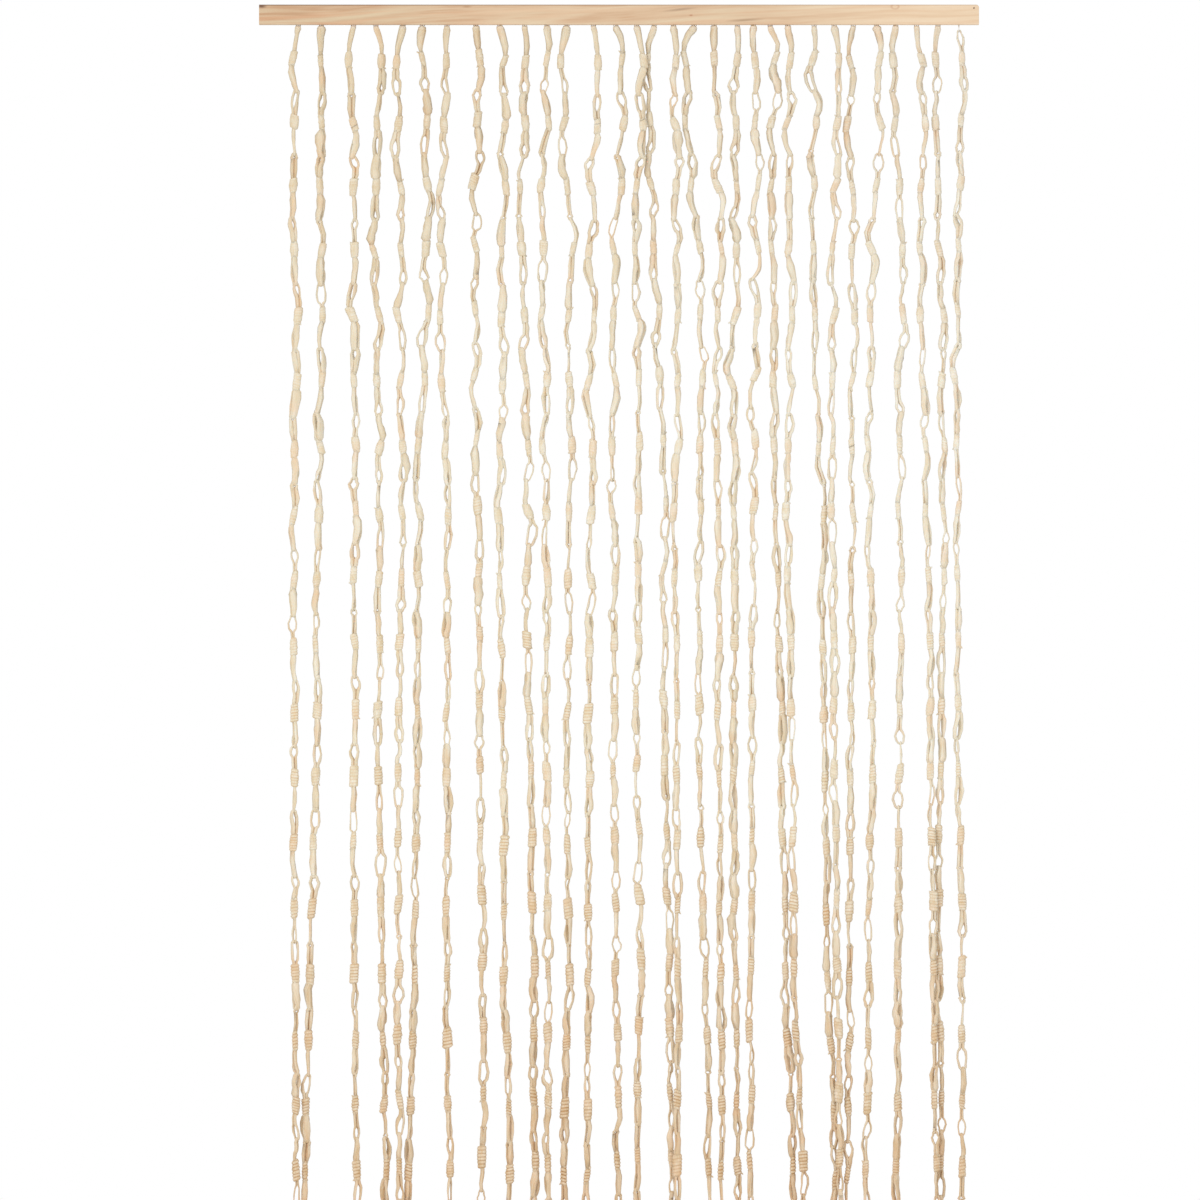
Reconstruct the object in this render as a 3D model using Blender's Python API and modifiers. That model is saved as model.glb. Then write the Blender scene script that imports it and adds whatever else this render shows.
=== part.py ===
"""Knotted door curtain: a pine rail with wire eyes and a row of hanging strands of knotted husk links.

Metres, +Z up. The rail runs along X and the curtain faces -Y. The origin is the middle of the
rail's flat back face, where the rail is fixed above a doorway.
"""
import math
import random
from collections import namedtuple

import bmesh
import bpy
import numpy as np
from mathutils import Matrix

MM = 0.001

# The rail is a plain planed batten.
RAIL_LENGTH = 0.900
RAIL_HEIGHT = 0.025
RAIL_DEPTH = 0.016
RAIL_EASED_EDGE = 0.0008
RAIL_UNDERSIDE = -RAIL_HEIGHT / 2
STRAND_DEPTH = -RAIL_DEPTH / 2

# Each wire eye is a small staple under the rail. Its bar runs along the rail, except the last one's,
# which points to the front.
WIRE_RADIUS = 0.0006
WIRE_HALF_SPAN = 0.0026
WIRE_DROP = 0.0050
LAST_WIRE_DROP = 0.0090
WIRE_SEAT = 0.0020
CLEARANCE = 0.0003
WELD_DISTANCE = 0.00005

# A link is a wrapped knot with a loop above it and a loop below it.
LINKS = 24
FIRST_KNOT_DROP = 0.044
FIRST_KNOT_SPREAD = 0.003
UPPER_PITCH = 0.0785
LOWER_PITCH = 0.0820
UPPER_LINKS = 3
PITCH_SPREAD = 0.0020
STRETCH_SPREAD = 0.006
HOOK_SHARE = 0.52
KNOT_HALF_LENGTH = 0.0095
KNOT_HALF_WIDTH = 0.0044
KNOT_HALF_DEPTH = 0.0038
KNOT_SIZE_SPREAD = 0.08
HOOK_HALF_WIDTH = 0.0031
HOOK_HALF_DEPTH = 0.0028
TAIL_LENGTH = 0.048
TAIL_HALF_WIDTH = 0.0026
TAIL_HALF_DEPTH = 0.0022

# Loops turn about the strand from link to link, and those that face the front show as open eyes.
LOOP_GAP_MIN = 0.0060
LOOP_GAP_MAX = 0.0092
TWIST_START_SPREAD = 22.0
TWIST_STEP = 20.0
EYES_PER_STRAND = 8
SMALLEST_EYE = 0.0042
LEG_WIDTH = 0.0030
LEG_HALF_DEPTH = 0.0022
EYE_WIDEST = 0.62

# The first loop of a strand is pulled narrow over its wire, and hangs edge-on to the front but for the last.
HEAD_HALF_GAP = 0.0020
HEAD_HALF_WIDTH = 0.0046
HEAD_HALF_DEPTH = 0.0015
HEAD_THICKNESS = 0.0037

# Strands sway sideways from link to link, most in their upper third, and lie in front and behind in turn.
SWAY_DROPS = (0.00, 0.45, 0.80)
SWAYS = (0.0048, 0.0042, 0.0016)
DEPTH_LEAN = 0.0041
STRAND_SEED = 4100

# Where each strand hangs: millimetres from the rail's middle at these depths under the rail.
WAYPOINT_DROPS = (0.000, 0.044, 0.300, 0.600, 0.900, 1.200, 1.425)
Strand = namedtuple("Strand", "root first_knot at_300 at_600 at_900 at_1200 at_1425")
STRANDS = (
    Strand(-401, -408, -405, -404, -407, -405, -403),
    Strand(-372, -373, -371, -377, -379, -386, -393),
    Strand(-332, -338, -331, -329, -331, -331, -329),
    Strand(-304, -297, -305, -300, -301, -296, -291),
    Strand(-270, -278, -274, -271, -275, -276, -275),
    Strand(-246, -246, -240, -252, -253, -256, -264),
    Strand(-215, -216, -221, -216, -214, -216, -212),
    Strand(-179, -174, -181, -177, -175, -169, -171),
    Strand(-149, -144, -144, -151, -145, -143, -137),
    Strand(-118, -117, -123, -115, -112, -106, -106),
    Strand(-90, -90, -96, -91, -91, -89, -89),
    Strand(-65, -73, -60, -62, -65, -63, -68),
    Strand(-32, -26, -35, -36, -38, -38, -41),
    Strand(-4, 4, -4, -6, -7, -3, -2),
    Strand(22, 31, 21, 24, 22, 27, 22),
    Strand(44, 36, 46, 56, 57, 63, 66),
    Strand(68, 71, 72, 71, 72, 74, 72),
    Strand(94, 82, 99, 102, 99, 108, 113),
    Strand(119, 119, 124, 123, 125, 127, 128),
    Strand(148, 148, 143, 146, 143, 146, 149),
    Strand(168, 170, 170, 167, 166, 164, 165),
    Strand(189, 196, 191, 196, 204, 209, 219),
    Strand(211, 214, 215, 211, 216, 219, 230),
    Strand(244, 243, 242, 255, 257, 262, 270),
    Strand(269, 275, 268, 267, 269, 272, 276),
    Strand(293, 289, 290, 293, 289, 289, 286),
    Strand(322, 326, 315, 312, 317, 312, 309),
    Strand(346, 343, 353, 351, 352, 349, 347),
    Strand(372, 379, 377, 384, 390, 393, 397),
    Strand(399, 396, 403, 407, 402, 399, 404),
    Strand(425, 429, 422, 422, 423, 430, 428),
)

Knot = namedtuple("Knot", "x y drop half_width half_depth gap_above gap_below")
Hook = namedtuple("Hook", "x y drop")
Section = namedtuple("Section", "x y drop half_width half_depth gap_below")


def principled(name, colour, roughness, metallic=0.0):
    """Make a plain material."""
    material = bpy.data.materials.new(name)
    material.use_nodes = True
    shader = material.node_tree.nodes["Principled BSDF"]
    shader.inputs["Base Color"].default_value = (*colour, 1.0)
    shader.inputs["Roughness"].default_value = roughness
    shader.inputs["Metallic"].default_value = metallic
    return material


def add_mesh_object(name, mesh, collection, material):
    """Put a mesh into the scene as an object of its own."""
    piece = bpy.data.objects.new(name, mesh)
    collection.objects.link(piece)
    if material is not None:
        mesh.materials.append(material)
    return piece


def is_last(index):
    """Tell whether this is the last strand, which hangs a little lower and faces the front."""
    return index == len(STRANDS) - 1


def wire_drop(index):
    """Depth of a wire eye's bar."""
    return LAST_WIRE_DROP if is_last(index) else WIRE_DROP


def wire_eye_mesh(drop):
    """Make one wire eye as a flat U of square wire, drawn in X and Y with its seat at y = 0."""
    outer, inner = WIRE_HALF_SPAN + WIRE_RADIUS, WIRE_HALF_SPAN - WIRE_RADIUS
    top = WIRE_SEAT
    foot, bar_top = -drop - WIRE_RADIUS, -drop + WIRE_RADIUS
    outline = ((-outer, top), (-outer, foot), (outer, foot), (outer, top),
               (inner, top), (inner, bar_top), (-inner, bar_top), (-inner, top))
    curve = bpy.data.curves.new("wire_eye", "CURVE")
    curve.dimensions = "2D"
    curve.fill_mode = "BOTH"
    curve.extrude = WIRE_RADIUS
    spline = curve.splines.new("POLY")
    spline.points.add(len(outline) - 1)
    spline.use_cyclic_u = True
    for point, (x, y) in zip(spline.points, outline):
        point.co = (x, y, 0.0, 1.0)
    guide = bpy.data.objects.new("wire_eye_guide", curve)
    bpy.context.scene.collection.objects.link(guide)
    evaluated = guide.evaluated_get(bpy.context.evaluated_depsgraph_get())
    mesh = bpy.data.meshes.new_from_object(evaluated)
    bpy.data.objects.remove(guide)
    return mesh


def make_wire_eyes(collection):
    """Stand a wire eye under the rail for each strand, all in one mesh to be joined to the rail."""
    shapes = {drop: wire_eye_mesh(drop) for drop in (WIRE_DROP, LAST_WIRE_DROP)}
    upright = Matrix.Rotation(math.pi / 2, 4, "X")
    quarter_turn = Matrix.Rotation(math.pi / 2, 4, "Z")
    solid = bmesh.new()
    for index, strand in enumerate(STRANDS):
        solid.from_mesh(shapes[wire_drop(index)])
        own = [vert for vert in solid.verts if not vert.tag]
        place = Matrix.Translation((strand.root * MM, STRAND_DEPTH, RAIL_UNDERSIDE))
        turn = quarter_turn @ upright if is_last(index) else upright
        bmesh.ops.transform(solid, matrix=place @ turn, verts=own)
        for vert in own:
            vert.tag = True
    bmesh.ops.remove_doubles(solid, verts=solid.verts, dist=WELD_DISTANCE)
    bmesh.ops.recalc_face_normals(solid, faces=solid.faces)
    mesh = bpy.data.meshes.new("wire_eyes")
    solid.to_mesh(mesh)
    solid.free()
    wires = add_mesh_object("wire_eyes", mesh, collection, None)
    wires.hide_render = True
    wires.display_type = "WIRE"
    return wires


def make_rail(parts, tools, material):
    """Make the batten with its eased edges, and join the wire eyes to it."""
    solid = bmesh.new()
    bmesh.ops.create_cube(solid, size=1.0)
    bmesh.ops.scale(solid, vec=(RAIL_LENGTH, RAIL_DEPTH, RAIL_HEIGHT), verts=solid.verts)
    mesh = bpy.data.meshes.new("rail")
    solid.to_mesh(mesh)
    solid.free()
    rail = add_mesh_object("rail", mesh, parts, material)
    rail.location = (0.0, STRAND_DEPTH, 0.0)
    bevel = rail.modifiers.new("eased edges", "BEVEL")
    bevel.width = RAIL_EASED_EDGE
    bevel.segments = 1
    join = rail.modifiers.new("wire eyes", "BOOLEAN")
    join.operation = "UNION"
    join.object = make_wire_eyes(tools)


def sway_at(drop):
    """Largest sideways sway of a knot or hook at this depth."""
    return float(np.interp(drop, SWAY_DROPS, SWAYS))


def strand_x(strand, drop):
    """Sideways place of a strand's middle line at this depth."""
    return float(np.interp(drop, WAYPOINT_DROPS, strand)) * MM


def plan_strand(index):
    """Work out a strand's knots and hooks from its row in the table and its own random draws."""
    strand = STRANDS[index]
    draw = random.Random(STRAND_SEED + index)
    y = STRAND_DEPTH + DEPTH_LEAN * (-1 if index % 2 == 0 else 1)
    stretch = 1 + draw.uniform(-STRETCH_SPREAD, STRETCH_SPREAD)
    drop = FIRST_KNOT_DROP + draw.uniform(-FIRST_KNOT_SPREAD, FIRST_KNOT_SPREAD)
    twist = draw.choice((0.0, 90.0)) + draw.uniform(-TWIST_START_SPREAD, TWIST_START_SPREAD)
    knots, hooks = [], []
    for link in range(LINKS):
        sway = sway_at(drop) if link else 0.0
        size = 1 + draw.uniform(-KNOT_SIZE_SPREAD, KNOT_SIZE_SPREAD)
        knots.append(Knot(
            x=strand_x(strand, drop) + draw.uniform(-sway, sway),
            y=y,
            drop=drop,
            half_width=KNOT_HALF_WIDTH * size,
            half_depth=KNOT_HALF_DEPTH,
            gap_above=draw.uniform(LOOP_GAP_MIN, LOOP_GAP_MAX) * abs(math.cos(math.radians(twist))),
            gap_below=draw.uniform(LOOP_GAP_MIN, LOOP_GAP_MAX) * abs(math.sin(math.radians(twist))),
        ))
        pitch = UPPER_PITCH if link < UPPER_LINKS else LOWER_PITCH
        pitch = pitch * stretch + draw.uniform(-PITCH_SPREAD, PITCH_SPREAD)
        hook_drop = drop + pitch * HOOK_SHARE
        sway = sway_at(hook_drop)
        hooks.append(Hook(strand_x(strand, hook_drop) + draw.uniform(-sway, sway), y, hook_drop))
        drop += pitch
        twist += draw.uniform(-TWIST_STEP, TWIST_STEP)
    return knots, hooks


def choose_eyes(knots):
    """Pick the widest open loops, with one at most beside each knot and each hook."""
    gaps = []
    for link, knot in enumerate(knots):
        if link > 0:
            gaps.append((knot.gap_above, link, "above"))
        if link < len(knots) - 1:
            gaps.append((knot.gap_below, link, "below"))
    chosen, used_knots, used_hooks = {}, set(), set()
    for gap, link, side in sorted(gaps, reverse=True):
        hook = link if side == "below" else link - 1
        if gap < SMALLEST_EYE or len(chosen) == EYES_PER_STRAND:
            break
        if link in used_knots or hook in used_hooks:
            continue
        chosen[link] = (side, gap)
        used_knots.add(link)
        used_hooks.add(hook)
    return chosen


def strand_sections(knots, hooks):
    """List a strand's cross-sections from its first knot down to its tail."""
    eyes = choose_eyes(knots)
    sections = []
    for link, (knot, hook) in enumerate(zip(knots, hooks)):
        side, gap = eyes.get(link, (None, 0.0))
        shift = {"above": -KNOT_HALF_LENGTH, "below": KNOT_HALF_LENGTH, None: 0.0}[side]
        if side == "above":
            sections[-1] = sections[-1]._replace(gap_below=gap)
        middle = Section(knot.x, knot.y, knot.drop, knot.half_width, knot.half_depth, 0.0)
        if link == 0:
            sections.append(middle._replace(drop=knot.drop - KNOT_HALF_LENGTH))
            shift = KNOT_HALF_LENGTH
        gap_below = gap if side == "below" else 0.0
        sections.append(middle._replace(drop=knot.drop + shift, gap_below=gap_below))
        if link < len(knots) - 1:
            sections.append(Section(hook.x, hook.y, hook.drop, HOOK_HALF_WIDTH, HOOK_HALF_DEPTH, 0.0))
    tail = knots[-1].drop + TAIL_LENGTH
    sections.append(Section(hooks[-1].x, knots[-1].y, tail, TAIL_HALF_WIDTH, TAIL_HALF_DEPTH, 0.0))
    return sections


def add_ring(solid, section):
    """Add a four-sided cross-section: left, front, right and back points."""
    z = RAIL_UNDERSIDE - section.drop
    points = (
        (section.x - section.half_width, section.y),
        (section.x, section.y - section.half_depth),
        (section.x + section.half_width, section.y),
        (section.x, section.y + section.half_depth),
    )
    return [solid.verts.new((x, y, z)) for x, y in points]


def add_leg(solid, x_outer, x_inner, y, z_outer, z_inner, half_depth):
    """Add a loop leg's three-sided cross-section: outer, inner front and inner back points."""
    return [
        solid.verts.new((x_outer, y, z_outer)),
        solid.verts.new((x_inner, y - half_depth, z_inner)),
        solid.verts.new((x_inner, y + half_depth, z_inner)),
    ]


def join_legs_to_ring(solid, left_leg, right_leg, ring, legs_above):
    """Skin the two legs of a loop into the ring where they meet."""
    ring_left, ring_front, ring_right, ring_back = ring
    left_outer, left_front, left_back = left_leg
    right_outer, right_front, right_back = right_leg
    faces = [
        (left_outer, ring_left, ring_front, left_front),
        (left_back, ring_back, ring_left, left_outer),
        (left_front, ring_front, ring_back, left_back),
        (right_front, ring_front, ring_right, right_outer),
        (right_outer, ring_right, ring_back, right_back),
        (right_back, ring_back, ring_front, right_front),
    ]
    for face in faces:
        solid.faces.new(face if legs_above else tuple(reversed(face)))


def add_open_eye(solid, upper, upper_ring, lower, lower_ring, widest):
    """Part the strand into two legs between two rings, widest at the given share of the way down."""
    drop = upper.drop + (lower.drop - upper.drop) * widest
    x = upper.x + (lower.x - upper.x) * widest
    z = RAIL_UNDERSIDE - drop
    half_gap = upper.gap_below / 2
    outer = half_gap + LEG_WIDTH
    left = add_leg(solid, x - outer, x - half_gap, upper.y, z, z, LEG_HALF_DEPTH)
    right = add_leg(solid, x + outer, x + half_gap, upper.y, z, z, LEG_HALF_DEPTH)
    join_legs_to_ring(solid, left, right, upper_ring, legs_above=False)
    join_legs_to_ring(solid, left, right, lower_ring, legs_above=True)


def add_head_loop(solid, index, first_ring):
    """Close the strand's first loop over the bar of its wire eye."""
    x = STRANDS[index].root * MM
    inner = RAIL_UNDERSIDE - wire_drop(index) + WIRE_RADIUS + CLEARANCE
    outer = inner + HEAD_THICKNESS
    shoulder = HEAD_HALF_WIDTH
    left = add_leg(solid, x - shoulder, x - HEAD_HALF_GAP, STRAND_DEPTH, outer, inner, HEAD_HALF_DEPTH)
    right = add_leg(solid, x + shoulder, x + HEAD_HALF_GAP, STRAND_DEPTH, outer, inner, HEAD_HALF_DEPTH)
    ring = first_ring
    if not is_last(index):
        bmesh.ops.rotate(solid, cent=(x, STRAND_DEPTH, inner), verts=left + right,
                         matrix=Matrix.Rotation(math.pi / 2, 3, "Z"))
        ring = first_ring[1:] + first_ring[:1]
    join_legs_to_ring(solid, left, right, ring, legs_above=True)
    solid.faces.new((left[0], left[1], right[1], right[0]))
    solid.faces.new((left[2], left[0], right[0], right[2]))
    solid.faces.new((left[1], left[2], right[2], right[1]))


def make_strand(index, parts, material):
    """Make one hanging strand as a chain of links in one closed body."""
    knots, hooks = plan_strand(index)
    sections = strand_sections(knots, hooks)
    solid = bmesh.new()
    rings = [add_ring(solid, section) for section in sections]
    add_head_loop(solid, index, rings[0])
    for upper, upper_ring, lower, lower_ring in zip(sections, rings, sections[1:], rings[1:]):
        if upper.gap_below:
            knot_on_top = upper.half_width > lower.half_width
            widest = EYE_WIDEST if knot_on_top else 1 - EYE_WIDEST
            add_open_eye(solid, upper, upper_ring, lower, lower_ring, widest)
            continue
        for side in range(4):
            after = (side + 1) % 4
            solid.faces.new((upper_ring[side], lower_ring[side], lower_ring[after], upper_ring[after]))
    solid.faces.new(list(reversed(rings[-1])))
    bmesh.ops.triangulate(solid, faces=solid.faces)
    mesh = bpy.data.meshes.new(f"strand_{index + 1:02d}")
    solid.to_mesh(mesh)
    solid.free()
    add_mesh_object(mesh.name, mesh, parts, material)


def main():
    for old in list(bpy.data.objects):
        bpy.data.objects.remove(old, do_unlink=True)
    parts = bpy.data.collections.new("knotted_door_curtain")
    tools = bpy.data.collections.new("joining_shapes")
    bpy.context.scene.collection.children.link(parts)
    bpy.context.scene.collection.children.link(tools)
    make_rail(parts, tools, principled("pine", (0.72, 0.52, 0.34), 0.55))
    for index in range(len(STRANDS)):
        make_strand(index, parts, principled(f"husk_{index + 1:02d}", (0.74, 0.60, 0.39), 0.75))


main()
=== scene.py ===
"""Looks of the knotted door curtain: husk strands with wrapped knots, wire eyes and a pine batten."""
import math
import random
from collections import namedtuple

import bpy
import numpy as np
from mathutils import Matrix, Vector


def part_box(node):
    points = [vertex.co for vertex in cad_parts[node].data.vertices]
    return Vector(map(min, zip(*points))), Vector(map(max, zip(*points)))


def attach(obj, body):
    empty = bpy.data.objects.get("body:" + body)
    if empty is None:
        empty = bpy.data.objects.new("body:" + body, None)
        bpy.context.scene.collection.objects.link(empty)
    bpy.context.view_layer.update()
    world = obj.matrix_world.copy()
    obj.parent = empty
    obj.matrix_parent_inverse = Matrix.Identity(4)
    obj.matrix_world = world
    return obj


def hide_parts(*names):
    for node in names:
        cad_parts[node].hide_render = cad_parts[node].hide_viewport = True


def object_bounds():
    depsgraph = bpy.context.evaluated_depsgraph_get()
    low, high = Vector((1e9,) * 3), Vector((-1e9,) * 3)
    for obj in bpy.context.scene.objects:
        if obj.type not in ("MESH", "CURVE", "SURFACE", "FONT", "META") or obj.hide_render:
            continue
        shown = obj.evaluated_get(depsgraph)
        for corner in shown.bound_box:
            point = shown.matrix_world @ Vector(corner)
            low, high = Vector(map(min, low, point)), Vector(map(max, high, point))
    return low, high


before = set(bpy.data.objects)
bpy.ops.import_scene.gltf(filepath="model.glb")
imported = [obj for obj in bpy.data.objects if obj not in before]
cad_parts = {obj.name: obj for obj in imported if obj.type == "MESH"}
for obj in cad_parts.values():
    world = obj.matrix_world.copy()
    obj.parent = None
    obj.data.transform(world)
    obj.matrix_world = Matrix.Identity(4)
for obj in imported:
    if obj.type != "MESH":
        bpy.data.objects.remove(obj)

CAD_LOW, CAD_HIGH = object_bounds()
MM = 0.001

# The rail's box takes in the wire eyes under it, so its underside comes from the batten's height.
RAIL_LOW, RAIL_HIGH = (Vector(corner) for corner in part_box("rail"))
RAIL_HEIGHT = 0.025
RAIL_TOP = RAIL_HIGH.z
RAIL_UNDERSIDE = RAIL_TOP - RAIL_HEIGHT
RAIL_HALF_LENGTH = 0.45
RAIL_HALF_DEPTH = (RAIL_HIGH.y - RAIL_LOW.y) / 2
STRAND_DEPTH = (RAIL_LOW.y + RAIL_HIGH.y) / 2

# Wire eyes, as on the construction model.
WIRE_RADIUS = 0.0006
WIRE_HALF_SPAN = 0.0026
WIRE_DROP = 0.0050
LAST_WIRE_DROP = 0.0090
WIRE_SEAT = 0.0020
WIRE_BEND = 0.0012
WIRE_BEND_STEPS = 4
WIRE_SIDES = 8

# Links, as on the construction model.
LINKS = 24
FIRST_KNOT_DROP = 0.044
FIRST_KNOT_SPREAD = 0.003
UPPER_PITCH = 0.0785
LOWER_PITCH = 0.0820
UPPER_LINKS = 3
PITCH_SPREAD = 0.0020
STRETCH_SPREAD = 0.006
HOOK_SHARE = 0.52
KNOT_HALF_WIDTH = 0.0044
KNOT_SIZE_SPREAD = 0.08
TAIL_LENGTH = 0.048
LOOP_GAP_MIN = 0.0060
LOOP_GAP_MAX = 0.0092
TWIST_START_SPREAD = 22.0
TWIST_STEP = 20.0
SWAY_DROPS = (0.00, 0.45, 0.80)
SWAYS = (0.0048, 0.0042, 0.0016)
DEPTH_LEAN = 0.0041
STRAND_SEED = 4100
LOOKS_SEED = 4200

# Where each strand hangs: millimetres from the rail's middle at these depths under the rail.
WAYPOINT_DROPS = (0.000, 0.044, 0.300, 0.600, 0.900, 1.200, 1.425)
Strand = namedtuple("Strand", "root first_knot at_300 at_600 at_900 at_1200 at_1425")
STRANDS = (
    Strand(-401, -408, -405, -404, -407, -405, -403),
    Strand(-372, -373, -371, -377, -379, -386, -393),
    Strand(-332, -338, -331, -329, -331, -331, -329),
    Strand(-304, -297, -305, -300, -301, -296, -291),
    Strand(-270, -278, -274, -271, -275, -276, -275),
    Strand(-246, -246, -240, -252, -253, -256, -264),
    Strand(-215, -216, -221, -216, -214, -216, -212),
    Strand(-179, -174, -181, -177, -175, -169, -171),
    Strand(-149, -144, -144, -151, -145, -143, -137),
    Strand(-118, -117, -123, -115, -112, -106, -106),
    Strand(-90, -90, -96, -91, -91, -89, -89),
    Strand(-65, -73, -60, -62, -65, -63, -68),
    Strand(-32, -26, -35, -36, -38, -38, -41),
    Strand(-4, 4, -4, -6, -7, -3, -2),
    Strand(22, 31, 21, 24, 22, 27, 22),
    Strand(44, 36, 46, 56, 57, 63, 66),
    Strand(68, 71, 72, 71, 72, 74, 72),
    Strand(94, 82, 99, 102, 99, 108, 113),
    Strand(119, 119, 124, 123, 125, 127, 128),
    Strand(148, 148, 143, 146, 143, 146, 149),
    Strand(168, 170, 170, 167, 166, 164, 165),
    Strand(189, 196, 191, 196, 204, 209, 219),
    Strand(211, 214, 215, 211, 216, 219, 230),
    Strand(244, 243, 242, 255, 257, 262, 270),
    Strand(269, 275, 268, 267, 269, 272, 276),
    Strand(293, 289, 290, 293, 289, 289, 286),
    Strand(322, 326, 315, 312, 317, 312, 309),
    Strand(346, 343, 353, 351, 352, 349, 347),
    Strand(372, 379, 377, 384, 390, 393, 397),
    Strand(399, 396, 403, 407, 402, 399, 404),
    Strand(425, 429, 422, 422, 423, 430, 428),
)

# Husk strip that the loops are bent from: its size across the loop's plane and within it, for mid leg,
# the leg's end and the tip.
Strip = namedtuple("Strip", "width thickness end_width end_thickness tip_width tip_thickness")
LOOP_STRIP = Strip(0.0067, 0.0038, 0.0049, 0.0028, 0.0042, 0.0028)
HEAD_STRIP = Strip(0.0064, 0.0034, 0.0080, 0.0038, 0.0033, 0.0041)
STRIP_SIDES = 8
LEG_WIDTH_PLACES = (0.0, 0.3, 0.7, 1.0)
ROOT_WIDTH_SHARE = 0.86

# How the strips' sizes vary: by strand, from left to right, by loop and along a leg. A wide strip is
# narrower where it leaves its knot, and its thickness changes less than its width.
STRIP_SIZE_SPREAD = 0.12
SIZE_FALL_TO_RIGHT = 0.16
SIZE_FALL_DROPS = (0.60, 1.30)
SIZE_FALL_SHARES = (1.0, 0.3)
STRIP_SIZES_TOP = (0.66, 1.68)
STRIP_SIZES_LOW = (0.48, 1.54)
LOW_SIZES_DROP = 0.70
STRIP_UNEVENNESS = 0.12
UNEVEN_PLACES = 5
LARGEST_ROOT_SIZE = 0.85
THICKNESS_FOLLOWS_SIZE = 0.60

# A strip's cross-section is creased, winds slowly along the strip, and leans a little mid leg.
STRIP_BULGE = 1.06
STRIP_CREASE = 0.20
CREASE_DEPTHS = (0.4, 1.3)
STRIP_SPIRAL = 2.2
STRIP_LEAN = 0.22
ANY_ANGLE = (0.0, 6.28)

# The two legs of a loop cling together beside the knot, then part quickly into a narrow slot.
CLOSED_DROPS = (0.10, 0.70)
LEAST_CLOSED = (0.24, 0.12)
MOST_CLOSED = (0.64, 0.60)
SHUT_LOOPS_SHARE = 0.20
SHUT_CLOSED = (0.86, 0.91)
SHUT_GAP_SHARE = 0.45
PARTING_SHARE = (0.14, 0.32)
PARTED_AT_MOST = 0.95
GAP_SHARES = (0.50, 1.00)
NECK_SHARE = 0.42
CLOSED_STATIONS = np.array((0.0, 0.5, 1.0))
PARTING_STATIONS = np.array((0.35, 0.70, 1.00))

# A loop's eye and its rounded tip.
EYE_SWELL = (0.02, 0.30)
EYE_NARROWING = (0.70, 1.00)
TIP_STRETCH = (1.0, 2.0)
LONGEST_TIP_SHARE = 0.3
TIP_ROUNDING = 0.9
TIP_SHOULDER = 0.25
TIP_STATIONS = 5

# How far the loops stray from straight: they bow, by the depths of SWAY_DROPS, and each leg wobbles.
LEG_BOWS = (0.0017, 0.0014, 0.0007)
MOSTLY_SIDEWAYS = np.array((1.0, 0.4, 0.0))
LEG_WOBBLE = 0.0004
LEG_WOBBLE_ASIDE = 0.0006
RIPPLE_SHARE = 0.6

# Loops that open front to back are narrower, and what still reaches out is pressed under the rail.
DEPTH_SQUEEZE = 0.60
FREE_SHARE_OF_DEPTH = 0.65

# The first loop of each strand, over the bar of its wire eye.
HEAD_CLEARANCE = 0.1 * MM
HEAD_HALF_GAP = 0.0008
HEAD_CLOSED = 0.72
HEAD_SIZES = (0.84, 1.28)
LAST_HEAD_HALF_GAP = 0.0017
LAST_HEAD_CLOSED = 0.30
LAST_HEAD_SIZES = (0.70, 0.75)

# Knots grow a little further down, by the depths of WRAP_DROPS, and tilt less, by those of SWAY_DROPS.
# The loops start inside them.
KNOT_GROWTH = (0.97, 1.00, 1.07)
KNOT_SIZES = (0.82, 1.24)
KNOT_TILTS = (0.17, 0.15, 0.06)
LOOP_START_SHARE = 0.75

# Wraps of a knot: short and flat near the rail, longer and ridged further down.
WRAP_TURNS = 6
WRAP_SIDES = 12
WRAP_ROWS_PER_TURN = 3
WRAP_DROPS = (0.05, 0.60, 1.15)
WRAP_HALF_LENGTHS = (0.0092, 0.0106, 0.0118)
WRAP_LENGTH_SHARES = (0.86, 1.12)
WRAP_GROOVES = (0.00012, 0.00028, 0.00080)
WRAP_GROOVE_SHARES = (0.6, 1.2)
WRAP_END_PLACES = np.array((1.05, 1.10))
WRAP_END_SIZES = np.array((0.78, 0.50))
WRAP_TAPER = 0.32
WRAP_TAPER_CURVE = 1.5
WRAP_TURN_SPREAD = 0.035
WRAP_OVAL = 0.05
WRAP_THREE_SIDED = 0.03
WRAP_HANDS = (-0.3, 1.0)
WRAP_SLANT = 0.0009
WRAP_SLANT_SHARES = (0.3, 1.4)
WRAP_SLANT_TURN = 0.5
WRAP_UNEVEN_SHARE = 0.25
WRAP_DEPTH_RATIO = 0.86

# Short cut ends of the strip beside some knots: their places and sizes from root to end.
STUB_SHARE = 0.6
STUB_LENGTH = 0.0040
STUB_LENGTH_SHARES = (0.7, 1.35)
STUB_HALF_WIDTH = 0.0018
STUB_HALF_THICKNESS = 0.0010
STUB_SIDES = 5
STUB_PLACES = np.array((0.0, 0.45, 0.8, 1.0))
STUB_SIZES = np.array((1.0, 1.05, 0.9, 0.55))
STUB_ROOT_ALONG = 0.72
STUB_ROOT_OUT = 0.45
STUB_HEADINGS = (0.8, 1.6)
STUB_DEPTH_SPREAD = 0.4

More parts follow.
